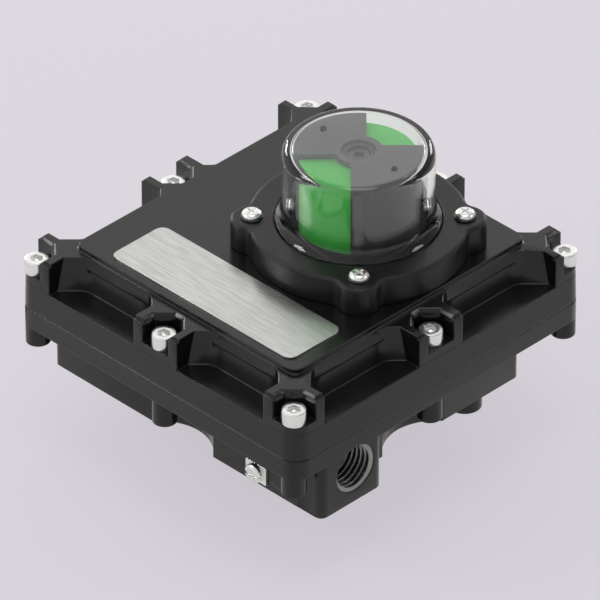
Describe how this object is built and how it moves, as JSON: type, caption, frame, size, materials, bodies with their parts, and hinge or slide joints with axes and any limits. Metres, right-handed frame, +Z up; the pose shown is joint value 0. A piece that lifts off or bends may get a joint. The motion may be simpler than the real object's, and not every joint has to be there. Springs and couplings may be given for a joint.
{
  "type": "valve limit switch box",
  "caption": "Cast switch box with a cam-driven position indicator under a clear dome, a threaded cable entry and tapped mounting feet.",
  "frame": {"origin": "on the drive shaft's axis, in the plane of the four mounting feet", "axes": "+Z up along the shaft to the dome, -Y the front that the nameplate reads from, +X the cable entry side"},
  "size_m": [0.1554, 0.161, 0.1337],
  "materials": {
    "housing_paint": "satin black paint on die-cast aluminium",
    "lid_paint": "satin black paint on die-cast aluminium",
    "retainer_paint": "satin dark grey paint",
    "seal_rubber": "smooth black rubber",
    "screw_zinc": "bright steel",
    "washer_dark": "dull steel",
    "clear_plastic": "clear polycarbonate",
    "mask_black": "dark grey plastic",
    "pin_black": "black plastic",
    "core_grey": "dark grey plastic",
    "signal_green": "bright green plastic",
    "signal_red": "bright red plastic",
    "shaft_steel": "turned stainless steel",
    "spring_steel": "spring steel",
    "bush_bronze": "bronze",
    "cam_plastic": "yellow plastic",
    "bracket_steel": "zinc plated sheet",
    "switch_case": "black moulded plastic",
    "strip_plastic": "cream plastic",
    "terminal_brass": "plated brass",
    "clamp_zinc": "zinc plated steel",
    "plate_metal": "brushed aluminium"
  },
  "bodies": {
    "housing": {"base_housing": "housing_paint", "lid": "lid_paint", "lid_seal": "seal_rubber", "lid_screws": "screw_zinc", "dome_retainer": "retainer_paint", "dome_seal": "seal_rubber", "dome": "clear_plastic", "retainer_washers": "washer_dark", "retainer_screws": "screw_zinc", "indicator_mask": "mask_black", "mask_pins": "pin_black", "lower_bush": "bush_bronze", "upper_bush": "bush_bronze", "thrust_washer": "shaft_steel", "switch_bracket": "bracket_steel", "bracket_screws": "screw_zinc", "switch_lower": "switch_case", "switch_upper": "switch_case", "switch_spacer": "core_grey", "switch_screws": "screw_zinc", "terminal_strip": "strip_plastic", "terminal_screws": "terminal_brass", "inner_earth_screw": "screw_zinc", "earth_clamp": "clamp_zinc", "earth_screw": "screw_zinc", "nameplate": "plate_metal"},
    "shaft": {"drive_shaft": "shaft_steel", "rotor_core": "core_grey", "rotor_green": "signal_green", "rotor_red": "signal_red", "rotor_screw": "screw_zinc", "shaft_circlip": "spring_steel", "cam_lower": "cam_plastic", "cam_upper": "cam_plastic", "cam_sleeve": "core_grey", "cam_collars": "shaft_steel"},
    "lever_a": {"lever_lower": "spring_steel"},
    "lever_b": {"lever_upper": "spring_steel"}
  },
  "joints": [
    {"name": "shaft_turn", "type": "hinge", "parent": "housing", "child": "shaft", "pos_m": [0, 0, 0], "axis": [0, 0, 1], "range_deg": [0, 90]},
    {"name": "lever_a_tilt", "type": "hinge", "parent": "housing", "child": "lever_a", "pos_m": [-0.0244, 0.012, 0.0437], "axis": [0, 0, -1], "range_deg": [0, 6]},
    {"name": "lever_b_tilt", "type": "hinge", "parent": "housing", "child": "lever_b", "pos_m": [-0.0244, 0.012, 0.0557], "axis": [0, 0, -1], "range_deg": [-6, 0]}
  ],
  "couplings": [
    {"joint": "lever_a_tilt", "follows": "shaft_turn", "ratio": 0.066667},
    {"joint": "lever_b_tilt", "follows": "shaft_turn", "ratio": -0.066667}
  ]
}
